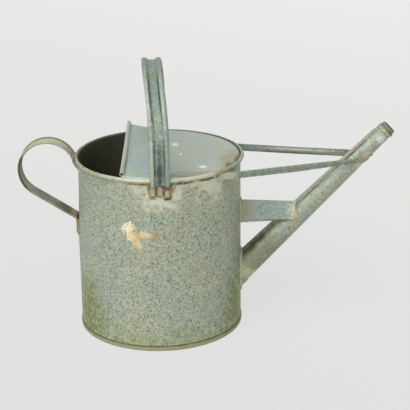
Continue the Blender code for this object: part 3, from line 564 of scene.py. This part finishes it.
print("wall and rim")
wallShape = {"radius": 110.0, "sheet": 0.8, "low": 1.1, "beadZ": 236.3, "bead": 2.7, "wire": 1.5,
             "press": 3.0, "pressFrom": 128.0, "pressEdge": 45.7, "seamStep": 80, "seamRise": 0.8,
             "seamFrom": 7.0, "seamTo": 229.0, "around": 192, "curlSteps": 18, "insideStep": 14,
             "holeRadius": 17.4, "holeDepth": 50.0}
beadRadius = wallShape["radius"] - wallShape["sheet"] + wallShape["bead"]


def pressedIn(place):
    edge = wallShape["pressEdge"] / wallShape["radius"]
    behind = (-place.x / math.hypot(place.x, place.y) - edge) / (1.0 - edge)
    rise = min((place.z - wallShape["pressFrom"]) / (wallShape["beadZ"] - wallShape["pressFrom"]), 1.0)
    if behind <= 0.0 or rise <= 0.0:
        return place
    return place + Vector((wallShape["press"] * behind ** 2 * (1.0 - (1.0 - rise) ** 2), 0.0, 0.0))


def wallRings(shape, outline):
    rings = []
    for radius, height, seam in outline:
        ring = []
        for step in range(wallShape["around"]):
            turn = math.tau * step / wallShape["around"]
            reach = radius + (seam if abs(step - wallShape["seamStep"]) < 2 else 0.0)
            place = Vector((reach * math.cos(turn), reach * math.sin(turn), height))
            ring.append(shape.verts.new(pressedIn(place)))
        rings.append(ring)
    joinRings(shape, rings, closed=True)


def curl(reach):
    # from the wall over the top of the wire and round under it
    count = wallShape["curlSteps"]
    turns = [math.radians(180 - 298 * step / count) for step in range(count + 1)]
    return [(beadRadius + reach * math.cos(turn), wallShape["beadZ"] + reach * math.sin(turn), 0.0)
            for turn in turns]


levels = [wallShape["low"], 4.0, 7.6] + [7.6 + 5.5 * step for step in range(1, 41)]
outside = [(wallShape["radius"], height,
            wallShape["seamRise"] if wallShape["seamFrom"] < height < wallShape["seamTo"] else 0.0)
           for height in levels]
inside = [(wallShape["radius"] - wallShape["sheet"], height, 0.0) for height in levels]
shape = bmesh.new()
wallRings(shape, outside + curl(wallShape["bead"] - wallShape["sheet"]) + curl(wallShape["bead"])[::-1]
          + inside[::-1])
# the inside colour, brown with painted shade, starts on the rim, just past its top
insideFrom = len(levels) + wallShape["curlSteps"] + 1 + wallShape["insideStep"]
for index, face in enumerate(shape.faces):
    face.material_index = 1 if index // wallShape["around"] >= insideFrom else 0
wall = makePiece("wallAndRim", shape, wallZinc, second=insideShadeZinc)
shape = bmesh.new()
bmesh.ops.create_cone(shape, cap_ends=True, segments=48, radius1=wallShape["holeRadius"] * mm,
                      radius2=wallShape["holeRadius"] * mm, depth=wallShape["holeDepth"] * mm)
data = bpy.data.meshes.new("spoutHole")
shape.to_mesh(data)
shape.free()
drill = bpy.data.objects.new("spoutHole", data)
bpy.context.scene.collection.objects.link(drill)
drill.matrix_world = (Matrix.Translation(spoutLine["foot"] * mm)
                      @ Matrix.Rotation(math.radians(90 - spoutLine["angle"]), 4, "Y"))
hole = wall.modifiers.new("spoutHole", "BOOLEAN")
hole.object = drill
bpy.context.view_layer.update()
cutWall = bpy.data.meshes.new_from_object(wall.evaluated_get(bpy.context.evaluated_depsgraph_get()))
wall.modifiers.clear()
wall.data = cutWall
bpy.data.objects.remove(drill, do_unlink=True)
wall.modifiers.new("softShading", "NODES").node_group = curved
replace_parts(wall, "body_shell")

shape = bmesh.new()
turns = [math.tau * step / 10 for step in range(10)]
wallRings(shape, [(beadRadius + wallShape["wire"] * math.cos(turn),
                   wallShape["beadZ"] - wallShape["wire"] * math.sin(turn), 0.0) for turn in turns])
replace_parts(makePiece("rimWire", shape, insideShadeZinc), "rim_wire")


# Rear handle: a strap with wired edges, its tabs flat on the wall

print("rear handle")
rearShape = {"width": 25.4, "edge": 1.5, "strap": 0.9, "loop": 38.0, "loopX": -147.5, "loopZ": 220.0,
             "tabLow": 223.4, "rimRadius": 114.9, "rimZ": 232.6, "legZ": 151.0, "legTab": 131.0,
             "play": 0.3}


def rearPlane(radius, height):
    # where the strap's middle is when its wired edges rest on this radius
    edge = rearShape["width"] / 2 - rearShape["edge"]
    place = pressedIn(Vector((-math.sqrt((radius + rearShape["play"]) ** 2 - edge ** 2), edge, height)))
    return Vector((place.x - rearShape["edge"], height))


def smoothed(path, times):
    # cuts the corners of a path, so that a bent strap has no kinks
    for turn in range(times):
        cut = [path[0]]
        for start, end in zip(path, path[1:]):
            cut += [start.lerp(end, 0.25), start.lerp(end, 0.75)]
        path = cut + [path[-1]]
    return path


def strapAlong(shape, section, path):
    # the section's points are (across, out), and the path's are (x, z)
    rings = []
    last = len(path) - 1
    for index, place in enumerate(path):
        ahead = (path[min(index + 1, last)] - path[max(index - 1, 0)]).normalized()
        rings.append([shape.verts.new((place.x - ahead.y * out, across, place.y + ahead.x * out))
                      for across, out in section])
    joinRings(shape, rings)


upper = rearPlane(wallShape["radius"], rearShape["tabLow"])
rim = rearPlane(rearShape["rimRadius"], rearShape["rimZ"])
foot = rearPlane(wallShape["radius"], rearShape["legZ"])
loopFrom = math.acos((rim.x - rearShape["loopX"]) / rearShape["loop"])
reach = math.hypot(foot.x - rearShape["loopX"], foot.y - rearShape["loopZ"])
loopTo = (math.tau + math.atan2(foot.y - rearShape["loopZ"], foot.x - rearShape["loopX"])
          - math.acos(rearShape["loop"] / reach))
bend = []
for step in range(61):
    turn = loopFrom + (loopTo - loopFrom) * step / 60
    bend.append(Vector((rearShape["loopX"] + rearShape["loop"] * math.cos(turn),
                        rearShape["loopZ"] + rearShape["loop"] * math.sin(turn))))
low = rearPlane(wallShape["radius"], rearShape["legTab"])
start = smoothed([upper, rim, bend[0], bend[2]], 2)
leg = smoothed([bend[-1], bend[-1].lerp(foot, 0.9), foot, low], 2)
side = rearShape["width"] / 2 - rearShape["edge"]
gap = math.asin(rearShape["strap"] / 2 / rearShape["edge"])
wire = [(side + rearShape["edge"] * math.cos(turn), rearShape["edge"] * math.sin(turn))
        for turn in [gap - math.pi + (math.tau - 2 * gap) * step / 14 for step in range(15)]]
shape = bmesh.new()
strapAlong(shape, wire + [(-across, -out) for across, out in wire], start + bend[3:-1] + leg)
rear = makePiece("rearStrap", shape, rearZinc, creased=True)
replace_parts(rear, "rear_handle")


# Stay: one strip from wall to wall, folded round the front of the spout, its arms hemmed

print("stay")
stayShape = {"thick": 1.0, "height": 9.1, "hem": 0.9, "hemHeight": 4.5, "wallRadius": 111.7,
             "noseX": 268.0, "noseDeep": 16.4, "noseWide": 12.7, "lean": 0.7, "tangent": 67.2}
# tab: angle from the spout, free: x. Both are followed by the middle's height and the strip's height
nearArm = {"tab": [(44.0, 229.0, 9.1), (42.0, 228.9, 9.1), (40.5, 228.8, 9.1)],
           "free": [(113.0, 228.5, 9.1), (184.0, 228.4, 9.2), (250.0, 229.3, 6.9), (268.0, 229.6, 6.7)]}
farArm = {"tab": [(50.0, 225.0, 9.6), (45.0, 225.1, 9.6), (40.5, 225.2, 9.6)],
          "free": [(113.0, 225.8, 9.6), (184.0, 227.6, 9.4), (250.0, 230.0, 9.4), (268.0, 230.6, 8.8)]}
noseHeights = [(229.8, 6.5), (230.0, 6.1), (230.3, 5.6), (230.5, 5.2), (230.7, 5.2), (230.8, 5.8),
               (230.8, 6.6), (230.8, 7.6), (230.8, 8.4)]


def stayArm(arm, side):
    # each spot has its place, middle, height, how far it is hemmed and how far it leans
    turn = math.radians(stayShape["tangent"])
    tip = Vector((stayShape["noseX"] + stayShape["noseDeep"] * math.cos(turn),
                  stayShape["noseWide"] * math.sin(turn) * side))
    spots = []
    for angle, middle, height in arm["tab"]:
        turn = math.radians(angle)
        root = Vector((math.cos(turn), side * math.sin(turn))) * stayShape["wallRadius"]
        spots.append((root, middle, height, 1.0, 0.0))
    for x, middle, height in arm["free"]:
        place = root.lerp(tip, (x - root.x) / (tip.x - root.x))
        spots.append((place, middle, height, 1.0, 0.0))
    return spots


def stayNose():
    spots = []
    for step, (middle, height) in enumerate(noseHeights):
        turn = math.radians(stayShape["tangent"] * (step / 4 - 1.0))
        front = 1.0 - abs(step / 4 - 1.0)
        spots.append((Vector((stayShape["noseX"] + stayShape["noseDeep"] * math.cos(turn),
                              stayShape["noseWide"] * math.sin(turn))), middle, height, 0.0,
                      stayShape["lean"] * min(1.0, front * 1.6)))
    return spots


shape = bmesh.new()
strip = stayArm(nearArm, -1) + stayNose() + stayArm(farArm, 1)[::-1]
rings = []
last = len(strip) - 1
for index, (centre, middle, height, hemmed, lean) in enumerate(strip):
    ahead = (strip[min(index + 1, last)][0] - strip[max(index - 1, 0)][0]).normalized()
    out = Vector((ahead.y, -ahead.x))
    half = stayShape["thick"] / 2
    fold = half + max(stayShape["hem"] * hemmed, 0.05)
    low, high = -height / 2, height / 2
    under = high - stayShape["hemHeight"] * height / stayShape["height"]
    ring = []
    for reach, up in ((-half, low), (half, low), (half, under), (fold, under + 0.3), (fold, high - 0.3),
                      (fold - 0.3, high), (-half, high)):
        place = centre + out * reach
        ring.append(shape.verts.new((place.x + lean * (up - high), place.y, middle + up)))
    rings.append(ring)
joinRings(shape, rings)
stay = makePiece("stayStrip", shape, stayZinc, creased=True)
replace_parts(stay, "spout_stay")


# Solder: soft tin-lead solder, wiped on by hand, gone cream and tan

print("solder at the joints")
solderRuns = {"spoutRoot": 2.3, "stayNose": 0.8, "stayTab": 1.0, "braceEnd": 1.9, "braceTab": 1.3,
              "carryFoot": 1.4, "rearTab": 1.5, "rearRim": 2.2, "collar": 0.8}
# the brace's end has places in millimetres, and the rest have the angle on the wall and the height
solderPaths = {
    "braceEnd": [(184.0, -15.6, 148.6), (184.2, -15.0, 153), (184.0, -13.6, 159), (183.6, -12.0, 164)],
    "braceTab": [(-9.6, 145.0), (-9.6, 160.0), (-9.6, 177.0)],
    "carryFoot": [(-7.3, 231.5), (-7.2, 222), (-6.6, 216.4), (-2.4, 216.2), (2.8, 216.0),
                  (3.2, 211.4), (6.6, 211.2), (7.3, 218), (7.3, 230.5)],
    "carrySlits": [(-2.4, 217.0, 228.0), (2.6, 217.0, 228.0)],
    "rearRim": [-6.6, -3.0, 0.0, 3.0, 6.6], "rearRimRadius": 116.2, "rearRimZ": 236.6,
}


def spoutOnWall(turn, grow):
    # halves the stretch in which the spout's side runs through the wall
    low, high = -40.0, 60.0
    for step in range(40):
        middle = (low + high) / 2
        reach = spoutRadius(middle) + grow
        place = spoutSpot(middle, reach * math.cos(turn), reach * math.sin(turn))
        if math.hypot(place.x, place.y) < wallShape["radius"] + 0.6:
            low = middle
        else:
            high = middle
    return place


rootPath = [spoutOnWall(math.tau * step / 72, 1.3) for step in range(73)]
shape = bmesh.new()
lumpyBead(shape, rootPath, solderRuns["spoutRoot"], 0.45, 1, outward)
makePiece("spoutRootSolder", shape, solder)

shape = bmesh.new()
for high, seed in ((1, 2), (-1, 3)):
    nosePath = []
    for step in range(25):
        share = step / 3
        first = min(int(share), 7)
        middle, height = Vector(noseHeights[first]).lerp(Vector(noseHeights[first + 1]), share - first)
        level = middle + high * height / 2
        rise = level - spoutLine["foot"].z
        axisX = spoutLine["foot"].x + rise / math.tan(math.radians(spoutLine["angle"]))
        reach = spoutRadius((axisX - spoutLine["foot"].x) * spoutAlong.x + rise * spoutAlong.z)
        turn = math.radians(stayShape["tangent"] * (step / 12 - 1.0))
        nosePath.append(Vector((axisX + (reach / spoutAlong.z + 0.6) * math.cos(turn),
                                (reach + 0.6) * math.sin(turn), level)))
    lumpyBead(shape, nosePath, solderRuns["stayNose"], 0.6, seed, offSpout)
makePiece("stayNoseSolder", shape, solder)

shape = bmesh.new()
for side in (-1, 1):
    tabLow, tabEnd = (224.0, 44.4) if side < 0 else (220.2, 50.6)
    tabPath = [onWall(side * 39.5, tabLow), onWall(side * 42, tabLow), onWall(side * tabEnd, tabLow + 0.2),
               onWall(side * (tabEnd + 0.2), tabLow + 4.8), onWall(side * tabEnd, tabLow + 9.4)]
    lumpyBead(shape, tabPath, solderRuns["stayTab"], 0.6, 4 + side, outward)
makePiece("stayTabSolder", shape, solder)

shape = bmesh.new()
lumpyBead(shape, [Vector(place) for place in solderPaths["braceEnd"]], solderRuns["braceEnd"], 0.5, 7,
          lambda place: Vector((0, -1, 0)))
lumpyBead(shape, [onWall(angle, height) for angle, height in solderPaths["braceTab"]],
          solderRuns["braceTab"], 0.6, 8, outward)
makePiece("braceSolder", shape, solder)

shape = bmesh.new()
for side, seed in ((-90, 9), (90, 10)):
    middle = side + carryTwist
    footPath = [onWall(middle + angle, height) for angle, height in solderPaths["carryFoot"]]
    lumpyBead(shape, footPath, solderRuns["carryFoot"], 0.7, seed, outward)
    for slit, low, high in solderPaths["carrySlits"]:
        lumpyBead(shape, [onWall(middle + slit, low, 0.8), onWall(middle + slit, high, 0.8)],
                  solderRuns["carryFoot"] * 0.7, 0.6, seed + slit, outward)
makePiece("carryFootSolder", shape, rustySolder)

shape = bmesh.new()
for low, high, seed in ((223.0, 233.5, 12), (130.8, 150.5, 13)):
    tabPath = [pressedIn(onWall(angle, height, 0.4)) for angle, height in (
        (173.0, high), (172.9, low), (180.0, low - 0.6), (187.1, low), (187.0, high))]
    lumpyBead(shape, tabPath, solderRuns["rearTab"], 0.7, seed, outward)
# the joint over the rim is filled from strap to bead
rimPath = []
reach = solderPaths["rearRimRadius"]
for angle in solderPaths["rearRim"]:
    turn = math.radians(angle)
    place = Vector((-reach * math.cos(turn), reach * math.sin(turn), solderPaths["rearRimZ"]))
    rimPath.append(pressedIn(place))
lumpyBead(shape, rimPath, solderRuns["rearRim"], 0.5, 15, lambda place: Vector((0, 0, 1)))
makePiece("rearTabSolder", shape, rustySolder)


# Spout end and threaded collar: cast brass, gone olive and dull, with a round mouth

print("spout end and threaded collar")
thread = {"start": 273.3, "height": 7.7, "bore": 8.8, "root": 9.7, "crest": 10.6, "bead": 11.7,
          "pitch": 1.5, "from": 3.1, "to": 7.2, "skirtTo": 1.2, "skirtWall": 1.1, "beadAt": 2.1,
          "beadTo": 3.0}
spoutEnd = {"from": 262.0, "to": 275.4, "rows": 8, "wall": 0.8, "seamWidth": 8.5, "seamRise": 1.1,
            "seamTurn": 8.0, "seamReach": 10.5, "solderReach": 10.9}


def ringOnSpout(shape, along, radiusAt, around=96):
    ring = []
    for step in range(around):
        turn = math.tau * step / around
        reach = radiusAt(turn)
        ring.append(shape.verts.new(spoutSpot(along, reach * math.cos(turn), reach * math.sin(turn))))
    return ring


def endRadius(along, turn):
    # the seam is the flat ridge near the top, turned a little to the near side
    aside = math.radians(spoutEnd["seamTurn"]) + (turn if turn < math.pi else turn - math.tau)
    onSeam = abs(aside) * spoutEnd["seamReach"] < spoutEnd["seamWidth"] / 2 and along < thread["start"]
    return spoutRadius(along) + 0.06 + (spoutEnd["seamRise"] if onSeam else 0.0)


shape = bmesh.new()
rowStep = (spoutEnd["to"] - spoutEnd["from"]) / spoutEnd["rows"]
rows = [spoutEnd["from"] + rowStep * step for step in range(spoutEnd["rows"] + 1)]
rings = [ringOnSpout(shape, along, lambda turn: endRadius(along, turn)) for along in rows]
rings += [ringOnSpout(shape, along, lambda turn: spoutRadius(along) - spoutEnd["wall"])
          for along in rows[::-1]]
joinRings(shape, rings, closed=True)
makePiece("spoutEnd", shape, spoutZinc, creased=True)

shape = bmesh.new()
collarPath = [spoutSpot(thread["start"] - 0.4, spoutEnd["solderReach"] * math.cos(math.tau * step / 40),
                        spoutEnd["solderReach"] * math.sin(math.tau * step / 40)) for step in range(41)]
lumpyBead(shape, collarPath, solderRuns["collar"], 0.6, 14, offSpout)
makePiece("collarSolder", shape, solder)


def collarRadius(height, turn):
    # a plain skirt, then a round bead, then the thread, which runs out at both ends
    if height < thread["skirtTo"]:
        return spoutRadius(thread["start"]) + thread["skirtWall"]
    if height < thread["beadTo"]:
        return thread["bead"] - 0.8 * abs((height - thread["beadAt"]) / 0.9) ** 3
    ends = max(0.0, min(1.0, (height - thread["from"]) / 0.5, (thread["to"] - height) / 0.5))
    wave = ((height - thread["from"]) / thread["pitch"] - turn / math.tau) % 1.0
    ridge = max(0.0, 1.0 - abs(wave - 0.5) / 0.30)
    return thread["root"] + (thread["crest"] - thread["root"]) * ridge ** 0.6 * ends


shape = bmesh.new()
levels = [0.0, 0.6, 1.15, 1.3, 1.5, 1.8, 2.1, 2.4, 2.7, 2.9, 3.05]
levels += [3.1 + 0.16 * step for step in range(1, 27)] + [7.4, thread["height"]]
rings = [ringOnSpout(shape, thread["start"] + height, lambda turn: collarRadius(height, turn))
         for height in levels]
for height, reach in ((thread["height"] + 0.2, 9.5), (thread["height"] + 0.2, 9.1),
                      (thread["height"], thread["bore"]), (2.6, thread["bore"]), (2.4, 10.6), (0.0, 10.6)):
    rings.append(ringOnSpout(shape, thread["start"] + height, lambda turn: reach))
joinRings(shape, rings, closed=True)
collar = makePiece("threadedCollar", shape, collarBrass, creased=True)
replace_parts(collar, "spout_collar")

dress(nodes["bottom_plate"], wallZinc)
dress(nodes["half_cover"], coverZinc)
dress(nodes["carry_handle"], carryZinc)
dress(nodes["spout_tube"], spoutZinc)
dress(nodes["spout_brace"], braceZinc)
